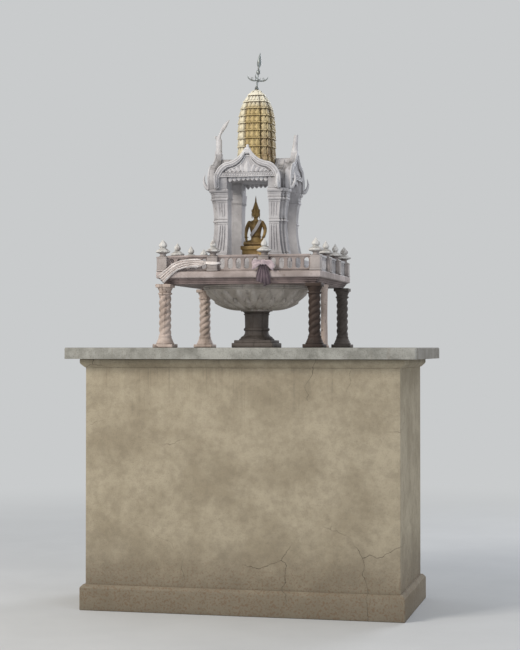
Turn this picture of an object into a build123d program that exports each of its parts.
from build123d import *
from math import cos, radians, sin
import os

# A Thai spirit house of cast, painted concrete. From the ground up it is a masonry plinth, a long
# table slab, a stage of four turned posts round a pedestal with a wide bowl, a balustraded
# platform, and a four-porched shrine with a gilded corn-cob spire. Millimetres, +Z up, the front
# looks along -Y, and the origin is on the ground at the centre of the footing. Heights of the
# shrine are measured from the platform floor.

# Plinth and table slab
table_length = 2070
table_margin = 28
table_thickness = 66
table_top = 1530
table_edge_round = 8
table_corner_round = 20
plinth_inset_ends = 110
plinth_inset_front = 80
wall_thickness = 100
footing_height = 150
footing_step = 30
footing_chamfer = 18
cap_height = 50
cap_step = 30
cap_chamfer = 24

# Stage between the table and the platform
post_height = 366
post_inset = 42
post_foot_size = 118
post_foot_height = 20
post_bell_height = 46
post_bell_radius = 52
post_shaft_radius = 34
post_ring_radius = 39
post_ring_height = 10
post_capital_radius = 42
post_capital_height = 30
post_abacus_size = 92
post_abacus_height = 20
prop_radius = 20
pedestal_foot_size = 250
pedestal_foot_height = 44
pedestal_moulding_height = 30
pedestal_moulding_radius = 105
pedestal_shaft_radius = 72
bowl_radius = 318
bowl_rim_height = 22
bowl_height = 132
bowl_fullness = 0.80
bowl_foot_radius = 92
bowl_foot_height = 18

# Platform
platform_margin = 2
platform_thickness = 40
platform_edge_chamfer = 5
soffit_thickness = 32
soffit_setback = 34

# Balustrade
rail_post_pitch = 300
rail_bays = 3
rail_post_size = 60
rail_post_body_height = 86
rail_post_neck_radius = 18
rail_post_neck_height = 20
rail_post_cap_radius = 43
rail_post_cap_height = 32
rail_post_bud_radius = 20
rail_post_bud_height = 48
corner_bud_radius = 25
rail_rise_over_body = 6
rail_thickness = 16
rail_bottom_bar = 12
rail_top_bar = 18
rail_coping_width = 26
rail_coping_height = 12
rail_opening_width = 30
rail_openings = 5

# Shrine body
eave_height = 494
opening_half_width = 124
porch_face = 214
redent = 15
base_margin = 24
base_step_height = 30
base_step_setback = 9
base_steps = 3
pier_waist_height = 297
pier_foot_spread = 28
pier_head_spread = 20
collar_thickness = 16
collar_spread = 5
inner_collar_drop = 69
capital_height = 22
capital_spread = 6

# Gables. The rises are above the eaves, the shares are of the gable's half width
lintel_rise = 67
gable_setback = 18
gable_spring_rise = 66
gable_shoulder_rise = 114
gable_shoulder_share = 0.91
gable_turn_rise = 151
gable_turn_share = 0.67
gable_hollow_rise = 178
gable_hollow_share = 0.30
gable_peak_rise = 228
gable_thickness = 24
bargeboard_projection = 14
bargeboard_width = 24
lintel_band_height = 26
lintel_band_projection = 8
vault_side_setback = 8
vault_drop = 34

# Ornaments of the gables
horn_thickness = 30
horn_width = 42
horn_beak_rise = 112
horn_tip_rise = 212
horn_tip_lean = 66
horn_beak_reach = 30
broken_horn_rise = 112
broken_horn_lean = 9
horn_stump_rise = 34
eave_finial_thickness = 20
eave_finial_rise = 92
eave_finial_reach = 26
eave_finial_width = 16

# Spire
spire_seat_rise = 106
spire_base_height = 96
spire_base_half_width = 121
spire_base_steps = 3
spire_base_setback = 4
spire_height = 414
spire_foot_half_width = 110
spire_tip_half_width = 10
spire_fullness = 4.8
spire_sharpness = 0.83
spire_tiers = 9
spire_lip = 6
spire_face_share = 0.42
spire_redent_share = 0.12

# Metal finial
finial_height = 220
finial_lean = 6
finial_collar_radius = 13
finial_collar_height = 12
finial_rod_radius = 5
finial_knob_radius = 13
finial_knob_height = 92
finial_blade_radius = 14
finial_blade_gap = 6
prong_count = 4
prong_height = 44
prong_reach = 66
prong_rise = 26
prong_thickness = 6

# Figure on its throne
throne_half_width = 80
throne_height = 76
figure_setforward = 24
lap_length = 75
lap_depth = 52
lap_height = 46
shoulder_height = 158
shoulder_half_width = 46
head_radius = 26
neck_height = 12
crown_height = 96

# Cloth
cloth_clearance = 0.3
cloth_half_width = 66
cloth_thickness = 24
cloth_rise = 50
cloth_drop = 86
swag_half_height = 27
swag_half_depth = 12
# Points of the swag as shares of a bay from the corner, of the rail's height, and of its tuck inwards
swag_route = [(0.88, 0.50, 1.0), (0.53, 0.48, 0.5), (0.27, 0.24, 0.1), (0.0, -0.50, 0.0)]

# Sizes that follow from the ones above
rail_half = rail_post_pitch * rail_bays / 2
rail_height = rail_post_body_height + rail_rise_over_body
platform_half_width = rail_half + rail_post_size / 2 + platform_margin
post_offset = platform_half_width - post_inset
table_depth = 2 * (platform_half_width + table_margin)
platform_bottom = table_top + post_height
floor = platform_bottom + soffit_thickness + platform_thickness
base_top = base_steps * base_step_height
gable_back = porch_face
gable_half_width = porch_face - gable_setback
gable_peak_height = eave_height + gable_peak_rise
lintel_height = eave_height + lintel_rise
spire_seat = eave_height + spire_seat_rise
spire_foot = spire_seat + spire_base_height
spire_tip = spire_foot + spire_height
SIDES = {"front": 0, "right": 90, "back": 180, "left": 270}


def save(builder, name):
    """Writes one finished piece, under its own name."""
    os.makedirs("parts", exist_ok=True)
    builder.part.label = name
    export_step(builder.part, f"parts/{name}.step")


def side_plane(angle, distance):
    """An upright plane facing outwards on one side: local x runs along the side, local y is up."""
    out_x, out_y = sin(radians(angle)), -cos(radians(angle))
    return Plane(
        origin=(distance * out_x, distance * out_y, floor),
        x_dir=(-out_y, out_x, 0),
        z_dir=(out_x, out_y, 0),
    )


def profile_plane(angle, along=0):
    """An upright plane cutting through one side: local x runs outwards from the axis, local y is up."""
    out_x, out_y = sin(radians(angle)), -cos(radians(angle))
    return Plane(
        origin=(-along * out_y, along * out_x, floor),
        x_dir=(out_x, out_y, 0),
        z_dir=(out_y, -out_x, 0),
    )


def block(length, depth, height, x=0, y=0, z=0):
    """A plain block standing on the height z, centred on x and y."""
    with Locations((x, y, z)):
        Box(length, depth, height, align=(Align.CENTER, Align.CENTER, Align.MIN))


# Footing
plinth_length = table_length - 2 * plinth_inset_ends
plinth_depth = table_depth - 2 * plinth_inset_front
with BuildPart() as footing:
    with BuildSketch():
        Rectangle(plinth_length + 2 * footing_step, plinth_depth + 2 * footing_step)
    extrude(amount=footing_height)
    chamfer(footing.edges().group_by(Axis.Z)[-1], length=footing_chamfer)
save(footing, "footing")

# Plinth walls, rendered masonry round a hollow core
wall_height = table_top - table_thickness - cap_height - footing_height
inner_depth = plinth_depth - 2 * wall_thickness
for facing, long_name, short_name in ((-1, "front", "left"), (1, "back", "right")):
    with BuildPart() as long_wall:
        with Locations((0, facing * (plinth_depth - wall_thickness) / 2, footing_height)):
            Box(plinth_length, wall_thickness, wall_height, align=(Align.CENTER, Align.CENTER, Align.MIN))
    save(long_wall, f"plinth_{long_name}_wall")
    with BuildPart() as short_wall:
        with Locations((facing * (plinth_length - wall_thickness) / 2, 0, footing_height)):
            Box(wall_thickness, inner_depth, wall_height, align=(Align.CENTER, Align.CENTER, Align.MIN))
    save(short_wall, f"plinth_{short_name}_wall")

# Corbelled cap slab on the walls
with BuildPart() as plinth_cap:
    with BuildSketch(Plane.XY.offset(footing_height + wall_height)):
        Rectangle(plinth_length + 2 * cap_step, plinth_depth + 2 * cap_step)
    extrude(amount=cap_height)
    chamfer(plinth_cap.edges().group_by(Axis.Z)[0], length=cap_chamfer)
save(plinth_cap, "plinth_cap")

# Table slab
with BuildPart() as table_slab:
    with BuildSketch(Plane.XY.offset(table_top - table_thickness)):
        RectangleRounded(table_length, table_depth, table_corner_round)
    extrude(amount=table_thickness)
    fillet(table_slab.edges().group_by(Axis.Z)[-1], radius=table_edge_round)
save(table_slab, "table_slab")

# Turned posts of the stage. The profile is drawn as (radius, height) from the table up.
bell_top = post_foot_height + post_bell_height
abacus_bottom = post_height - post_abacus_height
capital_bottom = abacus_bottom - post_capital_height
with BuildPart() as stage_post:
    block(post_foot_size, post_foot_size, post_foot_height)
    block(post_abacus_size, post_abacus_size, post_abacus_height, z=abacus_bottom)
    with BuildSketch(Plane.XZ):
        with BuildLine():
            Line((0, post_foot_height), (post_bell_radius, post_foot_height))
            ThreePointArc(
                (post_bell_radius, post_foot_height),
                (post_shaft_radius + (post_bell_radius - post_shaft_radius) * 0.3,
                 post_foot_height + post_bell_height * 0.5),
                (post_shaft_radius, bell_top),
            )
            Polyline(
                (post_shaft_radius, bell_top),
                (post_shaft_radius, capital_bottom - post_ring_height),
                (post_ring_radius, capital_bottom - post_ring_height),
                (post_ring_radius, capital_bottom),
                (post_shaft_radius, capital_bottom),
                (post_capital_radius, abacus_bottom),
                (0, abacus_bottom),
                (0, post_foot_height),
            )
        make_face()
    revolve(axis=Axis.Z)

for depth_name, side_y in (("front", -1), ("back", 1)):
    for width_name, side_x in (("left", -1), ("right", 1)):
        with BuildPart() as placed_post:
            with Locations((side_x * post_offset, side_y * post_offset, table_top)):
                add(stage_post.part)
        save(placed_post, f"post_{depth_name}_{width_name}")

# Slender prop on the right side, under the second balustrade post
with BuildPart() as right_prop:
    with Locations((post_offset, -rail_post_pitch / 2, table_top)):
        Cylinder(prop_radius, post_height, align=(Align.CENTER, Align.CENTER, Align.MIN))
save(right_prop, "right_prop")

# Central pedestal
bowl_bottom = platform_bottom - bowl_height - bowl_foot_height
moulding_bottom = table_top + pedestal_foot_height
with BuildPart() as pedestal:
    block(pedestal_foot_size, pedestal_foot_size, pedestal_foot_height, z=table_top)
    with BuildSketch(Plane.XZ):
        with BuildLine():
            Line((0, moulding_bottom), (pedestal_moulding_radius, moulding_bottom))
            ThreePointArc(
                (pedestal_moulding_radius, moulding_bottom),
                ((pedestal_moulding_radius + pedestal_shaft_radius) / 2 + 6,
                 moulding_bottom + pedestal_moulding_height * 0.7),
                (pedestal_shaft_radius, moulding_bottom + pedestal_moulding_height),
            )
            Polyline(
                (pedestal_shaft_radius, moulding_bottom + pedestal_moulding_height),
                (pedestal_shaft_radius, bowl_bottom),
                (0, bowl_bottom),
                (0, moulding_bottom),
            )
        make_face()
    revolve(axis=Axis.Z)
save(pedestal, "pedestal")

# Wide lotus bowl that spreads from the pedestal to the underside of the platform
with BuildPart() as pedestal_bowl:
    with BuildSketch(Plane.XZ):
        with BuildLine():
            belly = bowl_bottom + bowl_foot_height
            rim = platform_bottom - bowl_rim_height
            Polyline((0, bowl_bottom), (bowl_foot_radius, bowl_bottom), (bowl_foot_radius, belly))
            ThreePointArc(
                (bowl_foot_radius, belly),
                (bowl_radius * bowl_fullness, belly + (rim - belly) * 0.42),
                (bowl_radius, rim),
            )
            Polyline((bowl_radius, rim), (bowl_radius, platform_bottom), (0, platform_bottom),
                     (0, bowl_bottom))
        make_face()
    revolve(axis=Axis.Z)
save(pedestal_bowl, "pedestal_bowl")

# Platform, in two layers
soffit_width = 2 * (platform_half_width - soffit_setback)
with BuildPart() as platform_soffit:
    block(soffit_width, soffit_width, soffit_thickness, z=platform_bottom)
save(platform_soffit, "platform_soffit")

with BuildPart() as platform_slab:
    block(2 * platform_half_width, 2 * platform_half_width, platform_thickness,
          z=platform_bottom + soffit_thickness)
    chamfer(platform_slab.edges().filter_by(Axis.Z, reverse=True), length=platform_edge_chamfer)
save(platform_slab, "platform_slab")


# Balustrade posts: a square body, a round neck and cap, and a lotus bud
def lotus_post(bud_radius):
    """One balustrade post standing on the origin."""
    neck_top = rail_post_body_height + rail_post_neck_height
    cap_top = neck_top + rail_post_cap_height
    bud_top = cap_top + rail_post_bud_height
    bud_foot = bud_radius * 0.62
    with BuildPart() as post:
        block(rail_post_size, rail_post_size, rail_post_body_height)
        with BuildSketch(Plane.XZ):
            with BuildLine():
                Polyline(
                    (0, rail_post_body_height),
                    (rail_post_neck_radius, rail_post_body_height),
                    (rail_post_neck_radius, neck_top),
                    (rail_post_cap_radius, neck_top + rail_post_cap_height * 0.2),
                    (rail_post_cap_radius, neck_top + rail_post_cap_height * 0.45),
                )
                ThreePointArc(
                    (rail_post_cap_radius, neck_top + rail_post_cap_height * 0.45),
                    (rail_post_cap_radius * 0.72, neck_top + rail_post_cap_height * 0.68),
                    (bud_foot, cap_top),
                )
                Spline(
                    (bud_foot, cap_top),
                    (bud_radius, cap_top + rail_post_bud_height * 0.30),
                    (bud_radius * 0.52, cap_top + rail_post_bud_height * 0.68),
                    (0, bud_top),
                )
                Line((0, bud_top), (0, rail_post_body_height))
            make_face()
        revolve(axis=Axis.Z)
    return post.part


def rail_posts(name, bud_radius, places):
    """Balustrade posts at several places on the platform, in one node."""
    post = lotus_post(bud_radius)
    with BuildPart() as posts:
        with Locations([(x, y, floor) for x, y in places]):
            add(post)
    save(posts, name)


post_steps = [-rail_half + rail_post_pitch * i for i in range(rail_bays + 1)]
bay_centres = [x + rail_post_pitch / 2 for x in post_steps[:-1]]
corner_places = [(x, y) for x in (-rail_half, rail_half) for y in (-rail_half, rail_half)]
front_places = [(x, y) for x in post_steps[1:-1] for y in (-rail_half, rail_half)]
side_places = [(y, x) for x, y in front_places]
rail_posts("rail_corner_posts", corner_bud_radius, corner_places)
rail_posts("rail_front_and_back_posts", rail_post_bud_radius, front_places)
rail_posts("rail_side_posts", rail_post_bud_radius, side_places)


# Balustrade panels between the posts, pierced with round-ended openings under a coping
def rail(name, angle):
    """The pierced panels of one side of the balustrade."""
    bay = rail_post_pitch - rail_post_size
    opening_height = rail_height - rail_bottom_bar - rail_top_bar
    with BuildPart() as panels:
        with BuildSketch(side_plane(angle, rail_half - rail_thickness / 2)):
            with Locations([(x, rail_height / 2) for x in bay_centres]):
                Rectangle(bay, rail_height)
            with Locations([(x, rail_bottom_bar + opening_height / 2) for x in bay_centres]):
                with GridLocations(bay / rail_openings, 0, rail_openings, 1):
                    SlotOverall(opening_height, rail_opening_width, rotation=90, mode=Mode.SUBTRACT)
        extrude(amount=rail_thickness)
        with BuildSketch(side_plane(angle, rail_half - rail_coping_width / 2)):
            with Locations([(x, rail_height - rail_coping_height / 2) for x in bay_centres]):
                Rectangle(bay, rail_coping_height)
        extrude(amount=rail_coping_width)
    save(panels, name)


for side, angle in SIDES.items():
    rail(f"rail_{side}", angle)

# Stepped base of the shrine
with BuildPart() as shrine_base:
    top_half_width = porch_face + pier_foot_spread + base_margin
    for step in range(base_steps):
        width = 2 * (top_half_width + (base_steps - 1 - step) * base_step_setback)
        block(width, width, base_step_height, z=floor + step * base_step_height)
save(shrine_base, "shrine_base")


# Corner piers, waisted in height and redented at the outer corner
def pier_outline(spread):
    """Outline of the pier where x and y are positive, with its outer sides moved out by spread."""
    inner = opening_half_width
    outer = porch_face + spread
    first = outer - redent
    second = first - redent
    return [
        (inner, inner), (outer, inner), (outer, second), (first, second),
        (first, first), (second, first), (second, outer), (inner, outer),
    ]


def pier_spread(height):
    """How far the pier's outer sides stand out at a height: most at the foot, least at the waist."""
    if height < pier_waist_height:
        share = (pier_waist_height - height) / (pier_waist_height - base_top)
        return pier_foot_spread * share**2
    share = (height - pier_waist_height) / (eave_height - pier_waist_height)
    return pier_head_spread * share**1.5


def pier(name, angle):
    """One corner pier with a collar at its waist, one below its head, and a capital."""
    corner = Plane(origin=(0, 0, floor), x_dir=(cos(radians(angle)), sin(radians(angle)), 0), z_dir=(0, 0, 1))
    capital_foot = eave_height - capital_height
    foot_levels = [base_top + (pier_waist_height - base_top) * i / 5 for i in range(6)]
    head_levels = [pier_waist_height + (capital_foot - pier_waist_height) * i / 3 for i in range(1, 4)]
    with BuildPart() as column:
        for height in foot_levels + head_levels:
            with BuildSketch(corner.offset(height)):
                Polygon(*pier_outline(pier_spread(height)), align=None)
        loft(ruled=True)
        bands = [
            (pier_waist_height, collar_thickness, collar_spread),
            (eave_height - inner_collar_drop, collar_thickness, collar_spread),
            (capital_foot, capital_height, capital_spread),
        ]
        for bottom, thickness, spread in bands:
            with BuildSketch(corner.offset(bottom)):
                Polygon(*pier_outline(pier_spread(bottom + thickness) + spread), align=None)
            extrude(amount=thickness)
    save(column, name)


for name, angle in (("back_right", 0), ("back_left", 90), ("front_left", 180), ("front_right", 270)):
    pier(f"pier_{name}", angle)


# Ogee outline shared by the gables and the roof
def ogee(side_inset=0, drop=0):
    """The ogee face above the eaves, narrowed by side_inset on each side and lowered by drop."""
    half = gable_half_width - side_inset
    foot = eave_height - drop
    spring = (half, foot + gable_spring_rise)
    shoulder = (half * gable_shoulder_share, foot + gable_shoulder_rise)
    turn = (half * gable_turn_share, foot + gable_turn_rise)
    hollow = (half * gable_hollow_share, foot + gable_hollow_rise)
    crest = (horn_thickness / 2, foot + gable_peak_rise)
    with BuildSketch() as outline:
        with BuildLine():
            Polyline((0, eave_height), (spring[0], eave_height), spring)
            ThreePointArc(spring, shoulder, turn)
            ThreePointArc(turn, hollow, crest)
            Polyline(crest, (0, crest[1]), (0, eave_height))
        make_face()
        mirror(about=Plane.YZ)
    return outline.sketch


def doorway_head():
    """The part of a doorway that lies above the eaves."""
    with BuildSketch() as opening:
        with Locations((0, eave_height + lintel_rise / 2)):
            Rectangle(2 * opening_half_width, lintel_rise)
    return opening.sketch


# Outline shared by the spire and its base
def redented_square(half):
    """Outline of a square with two steps in each corner."""
    face = half * spire_face_share
    first = half * (1 - spire_redent_share)
    second = half * (1 - 2 * spire_redent_share)
    corner = [
        (half, face), (first, face), (first, second), (second, second), (second, first), (face, first), (face, half),
    ]
    points = []
    for quarter in range(4):
        turn = radians(90 * quarter)
        points += [(x * cos(turn) - y * sin(turn), x * sin(turn) + y * cos(turn)) for x, y in corner]
    return points


# Roof: two crossing ogee vaults, kept below the gables, with a seat for the spire
with BuildPart() as roof:
    for angle in (0, 90):
        with BuildSketch(side_plane(angle, -gable_back)):
            add(ogee(vault_side_setback, vault_drop))
        extrude(amount=2 * gable_back)
    for angle in (0, 90):
        with BuildSketch(side_plane(angle, -gable_back)):
            add(doorway_head())
        extrude(amount=2 * gable_back, mode=Mode.SUBTRACT)
    with BuildSketch(Plane.XY.offset(floor + spire_seat)):
        Polygon(*redented_square(spire_base_half_width), align=None)
    extrude(amount=gable_peak_height - spire_seat, mode=Mode.SUBTRACT)
save(roof, "roof")


# Gables with a raised bargeboard round the ogee and a band over the doorway
def gable(name, angle):
    """One porch gable, open below for the doorway."""
    face = gable_back + gable_thickness
    with BuildPart() as plate:
        with BuildSketch(side_plane(angle, gable_back)):
            add(ogee())
            add(doorway_head(), mode=Mode.SUBTRACT)
        extrude(amount=gable_thickness)
        with BuildSketch(side_plane(angle, face)):
            add(ogee())
            add(ogee(bargeboard_width, bargeboard_width), mode=Mode.SUBTRACT)
            with Locations((0, eave_height)):
                Rectangle(2 * (gable_half_width - bargeboard_width), 2 * bargeboard_width, mode=Mode.SUBTRACT)
        extrude(amount=bargeboard_projection)
        with BuildSketch(side_plane(angle, face)):
            with Locations((0, lintel_height + lintel_band_height / 2)):
                Rectangle(2 * (gable_half_width - bargeboard_width), lintel_band_height)
        extrude(amount=lintel_band_projection)
    save(plate, name)


for side, angle in SIDES.items():
    gable(f"gable_{side}", angle)

gable_face = gable_back + gable_thickness + bargeboard_projection
horn_axis = (gable_back + gable_face) / 2


# Horn finials on the crests of the gables
def horn(name, angle):
    """A whole horn: a neck, a beak that points outwards and a crest that sweeps back over the roof."""
    half = horn_width / 2
    foot = gable_peak_height
    throat = foot + horn_beak_rise * 0.84
    beak = (horn_axis + horn_beak_reach, foot + horn_beak_rise)
    tip = (horn_axis - horn_tip_lean, foot + horn_tip_rise)
    with BuildPart() as finial:
        with BuildSketch(profile_plane(angle).offset(-horn_thickness / 2)):
            with BuildLine():
                Line((horn_axis - half, foot), (horn_axis + half, foot))
                ThreePointArc((horn_axis + half, foot), (horn_axis + half * 0.80, foot + horn_beak_rise * 0.45),
                              (horn_axis + half * 0.8, throat))
                Line((horn_axis + half * 0.8, throat), beak)
                ThreePointArc(beak, (horn_axis - half * 0.4, foot + horn_beak_rise * 1.22), tip)
                ThreePointArc(tip, (horn_axis - horn_tip_lean * 0.64, foot + horn_tip_rise * 0.70),
                              (horn_axis - half * 0.9, throat))
                ThreePointArc((horn_axis - half * 0.9, throat),
                              (horn_axis - half * 1.08, foot + horn_beak_rise * 0.4), (horn_axis - half, foot))
            make_face()
        extrude(amount=horn_thickness)
    save(finial, name)


def broken_horn(name, angle, rise, lean):
    """What is left of a horn that has snapped off at a height, with a slanting break."""
    half = horn_width / 2
    foot = gable_peak_height
    with BuildPart() as finial:
        with BuildSketch(profile_plane(angle).offset(-horn_thickness / 2)):
            with BuildLine():
                Polyline(
                    (horn_axis - half * 0.8 + lean, foot + rise - 5),
                    (horn_axis - half, foot),
                    (horn_axis + half, foot),
                    (horn_axis + half * 0.8 + lean, foot + rise),
                    (horn_axis + lean, foot + rise + 2),
                    (horn_axis - half * 0.8 + lean, foot + rise - 5),
                )
            make_face()
        extrude(amount=horn_thickness)
    save(finial, name)


horn("horn_left", SIDES["left"])
horn("horn_back", SIDES["back"])
broken_horn("horn_right", SIDES["right"], broken_horn_rise, broken_horn_lean)
broken_horn("horn_front", SIDES["front"], horn_stump_rise, 0)

# Curled finials at the feet of the bargeboards
with BuildPart() as eave_finials:
    along = gable_half_width - eave_finial_thickness / 2
    foot = eave_height
    outer = gable_face + eave_finial_reach
    for angle in SIDES.values():
        for place in (-along, along):
            with BuildSketch(profile_plane(angle, place).offset(-eave_finial_thickness / 2)):
                with BuildLine():
                    Polyline((gable_face, foot + eave_finial_rise * 0.42), (gable_face, foot),
                             (gable_face + eave_finial_width, foot))
                    Spline((gable_face + eave_finial_width, foot), (outer, foot + eave_finial_rise * 0.5),
                           (outer - eave_finial_width * 0.3, foot + eave_finial_rise))
                    Spline((outer - eave_finial_width * 0.3, foot + eave_finial_rise),
                           (outer - eave_finial_width * 0.8, foot + eave_finial_rise * 0.55),
                           (gable_face, foot + eave_finial_rise * 0.42))
                make_face()
            extrude(amount=eave_finial_thickness)
save(eave_finials, "eave_finials")

# Base of the spire, seated in the roof
with BuildPart() as spire_base:
    step_height = spire_base_height / spire_base_steps
    for step in range(spire_base_steps):
        with BuildSketch(Plane.XY.offset(floor + spire_seat + step * step_height)):
            Polygon(*redented_square(spire_base_half_width - step * spire_base_setback), align=None)
        extrude(amount=step_height)
save(spire_base, "spire_base")


# Spire: overlapping tiers inside a bullet outline
def spire_half_width(height):
    """Half width of the spire at a height above the platform floor."""
    share = (height - spire_foot) / spire_height
    curve = max(1 - share**spire_fullness, 0) ** spire_sharpness
    return max(spire_foot_half_width * curve, spire_tip_half_width)


tier_edges = [spire_foot + spire_height * (i / spire_tiers) ** 0.9 for i in range(spire_tiers + 1)]
with BuildPart() as spire:
    for low, high in zip(tier_edges, tier_edges[1:]):
        top_half = max(spire_half_width(high) - spire_lip, spire_tip_half_width)
        for height, half in ((low, spire_half_width(low)), (high, top_half)):
            with BuildSketch(Plane.XY.offset(floor + height)):
                Polygon(*redented_square(half), align=None)
        loft(ruled=True)
save(spire, "spire")

# Metal finial: an upright collar, and a bent rod with prongs, a knob and a spear blade
with BuildPart() as spire_finial:
    collar_top = floor + spire_tip + finial_collar_height
    with Locations((0, 0, floor + spire_tip)):
        Cylinder(finial_collar_radius, finial_collar_height, align=(Align.CENTER, Align.CENTER, Align.MIN))
    lean = radians(finial_lean)
    leaning = Plane(origin=(0, 0, collar_top), x_dir=(cos(lean), 0, -sin(lean)), z_dir=(0, -1, 0))
    rod_length = (finial_height - finial_collar_height) / cos(lean)
    knob_top = finial_knob_height + finial_knob_radius
    blade_foot = knob_top + finial_blade_gap
    rod = finial_rod_radius
    with BuildSketch(leaning):
        with BuildLine():
            Polyline((0, -finial_collar_height / 2), (2 * rod, -finial_collar_height / 2), (2 * rod, 0),
                     (rod, prong_height * 0.5), (rod, finial_knob_height - finial_knob_radius))
            ThreePointArc((rod, finial_knob_height - finial_knob_radius),
                          (finial_knob_radius, finial_knob_height), (rod, knob_top))
            Polyline((rod, knob_top), (rod, blade_foot),
                     (finial_blade_radius, blade_foot + (rod_length - blade_foot) * 0.3), (0, rod_length),
                     (0, -finial_collar_height / 2))
        make_face()
    revolve(axis=Axis(leaning.origin, leaning.y_dir))
    for i in range(prong_count):
        turn = radians(360 / prong_count * i)
        outwards = leaning.x_dir * cos(turn) + leaning.z_dir * sin(turn)
        across = outwards.cross(leaning.y_dir)
        prong_plane = Plane(origin=leaning.origin - across * prong_thickness / 2, x_dir=outwards, z_dir=across)
        with BuildSketch(prong_plane):
            with BuildLine():
                low, high = prong_height - prong_thickness, prong_height + prong_thickness
                Line((0, high), (0, low))
                ThreePointArc((0, low), (prong_reach * 0.72, low + prong_rise * 0.28),
                              (prong_reach, prong_height + prong_rise))
                ThreePointArc((prong_reach, prong_height + prong_rise),
                              (prong_reach * 0.62, high + prong_rise * 0.22), (0, high))
            make_face()
        extrude(amount=prong_thickness)
save(spire_finial, "spire_finial")

# Throne inside the shrine
throne_bottom = floor + base_top
with BuildPart() as throne:
    block(2 * throne_half_width, 2 * throne_half_width, throne_height * 0.3, y=-figure_setforward,
          z=throne_bottom)
    block(1.7 * throne_half_width, 1.7 * throne_half_width, throne_height * 0.4, y=-figure_setforward,
          z=throne_bottom + throne_height * 0.3)
    block(1.9 * throne_half_width, 1.9 * throne_half_width, throne_height * 0.3, y=-figure_setforward,
          z=throne_bottom + throne_height * 0.7)
save(throne, "throne")

# Seated figure, with crossed legs, hands on its knees and a tall crown
with BuildPart() as seated:
    for height, long, deep in ((0, 0.94, 0.94), (0.4, 1, 1), (1, 0.62, 0.62)):
        with BuildSketch(Plane.XY.offset(lap_height * height)):
            Ellipse(lap_length * long, lap_depth * deep)
    loft()
    chest = shoulder_height - lap_height
    for height, wide, deep in ((-0.1, 0.80, 0.56), (0.4, 0.68, 0.46), (0.86, 1, 0.54), (1, 0.40, 0.34)):
        with BuildSketch(Plane.XY.offset(lap_height + chest * height)):
            Ellipse(shoulder_half_width * wide, shoulder_half_width * deep)
    loft()
    with BuildLine() as arm:
        Spline(
            (shoulder_half_width * 0.90, 0, shoulder_height - 16),
            (shoulder_half_width * 1.30, -4, lap_height + chest * 0.46),
            (lap_length * 0.60, -lap_depth * 0.66, lap_height + 2),
        )
    with BuildSketch(Plane(origin=arm.line @ 0, z_dir=arm.line % 0)):
        Circle(head_radius * 0.42)
    sweep(path=arm.line)
    mirror(about=Plane.YZ)
    chin = shoulder_height + neck_height
    brow = chin + head_radius * 1.5
    with BuildSketch(Plane.XZ):
        with BuildLine():
            Polyline((0, shoulder_height - neck_height), (head_radius * 0.5, shoulder_height - neck_height),
                     (head_radius * 0.5, chin))
            ThreePointArc((head_radius * 0.5, chin), (head_radius, chin + head_radius * 0.8),
                          (head_radius * 0.86, brow))
            Polyline((head_radius * 0.86, brow), (head_radius * 1.04, brow + 2),
                     (head_radius * 1.04, brow + 8), (head_radius * 0.66, brow + crown_height * 0.24),
                     (head_radius * 0.76, brow + crown_height * 0.28),
                     (head_radius * 0.42, brow + crown_height * 0.48),
                     (head_radius * 0.50, brow + crown_height * 0.52),
                     (head_radius * 0.20, brow + crown_height * 0.78),
                     (0, brow + crown_height), (0, shoulder_height - neck_height))
        make_face()
    revolve(axis=Axis.Z)
with BuildPart() as figure:
    with Locations((0, -figure_setforward, throne_bottom + throne_height)):
        add(seated.part)
save(figure, "figure")

# Lilac cloth tied to the third post of the front balustrade: a bow over the slab's edge, with tails
cloth_back = platform_half_width + cloth_clearance
with BuildPart() as post_cloth:
    with BuildSketch(side_plane(0, cloth_back)):
        outline = [
            (cloth_half_width * 0.45, cloth_rise), (cloth_half_width, cloth_rise * 0.4),
            (cloth_half_width, -cloth_drop * 0.15), (cloth_half_width * 0.65, -cloth_drop * 0.4),
            (cloth_half_width * 0.6, -cloth_drop),
        ]
        with Locations((rail_post_pitch / 2, 0)):
            Polygon(*outline, *[(-x, z) for x, z in reversed(outline)], align=None)
    extrude(amount=cloth_thickness)
    fillet(post_cloth.edges().filter_by(Axis.Y, reverse=True).group_by(Axis.Y)[0], radius=cloth_thickness * 0.4)
save(post_cloth, "post_cloth")

# White swag that lies on the left bay of the front balustrade and falls over the slab's corner
swag_plane = side_plane(0, cloth_back + swag_half_depth)
swag_tuck = cloth_back - rail_half - rail_coping_width / 2 - cloth_clearance
with BuildPart() as rail_swag:
    with BuildLine() as route:
        route_points = [(-rail_half + rail_post_pitch * along, rail_height * up, -swag_tuck * inwards)
                        for along, up, inwards in swag_route]
        Spline([swag_plane.from_local_coords(point) for point in route_points])
    with BuildSketch(Plane(origin=route.line @ 0, x_dir=(0, 1, 0), z_dir=route.line % 0)):
        Ellipse(swag_half_depth, swag_half_height)
    sweep(path=route.line)
save(rail_swag, "rail_swag")
